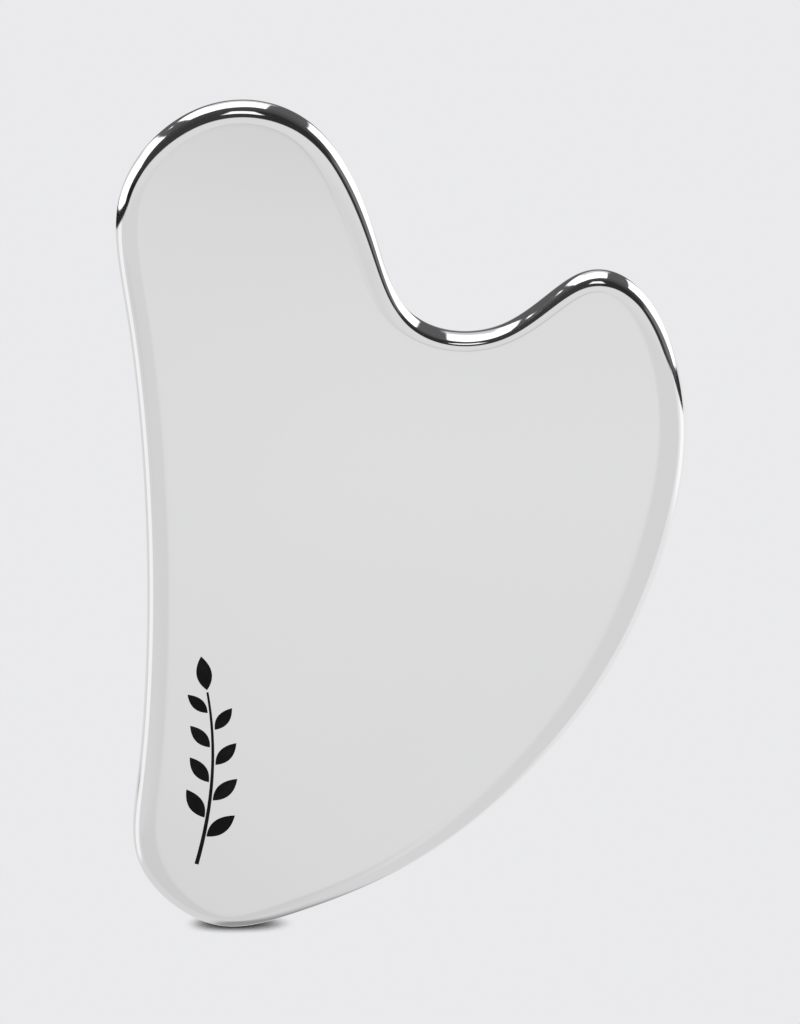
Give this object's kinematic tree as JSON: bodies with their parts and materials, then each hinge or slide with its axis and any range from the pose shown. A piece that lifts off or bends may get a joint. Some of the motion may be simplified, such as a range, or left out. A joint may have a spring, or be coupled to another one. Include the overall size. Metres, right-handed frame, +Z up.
{
  "type": "gua sha scraper",
  "caption": "Flat steel facial gua sha scraper in the shape of a leaning heart, with rounded edges, a valley between a large and a small lobe, and a small printed sprig.",
  "frame": {"origin": "middle of the underside of the plate's box, with the foot of the upright plate touching z = 0", "axes": "+Z up the length of the plate towards the large lobe, +X towards the small lobe, -Y out of the printed front face"},
  "size_m": [0.0564, 0.0039, 0.0887],
  "materials": {
    "polished_steel": "mirror-polished stainless steel, with very fine hairlines",
    "black_ink": "thin black pad-printed ink, satin"
  },
  "bodies": {
    "root": {"steel_plate": "polished_steel", "print_stem": "black_ink", "print_leaf_1": "black_ink", "print_leaf_2": "black_ink", "print_leaf_3": "black_ink", "print_leaf_4": "black_ink", "print_leaf_5": "black_ink", "print_leaf_6": "black_ink", "print_leaf_7": "black_ink", "print_leaf_8": "black_ink", "print_leaf_9": "black_ink"}
  },
  "joints": []
}
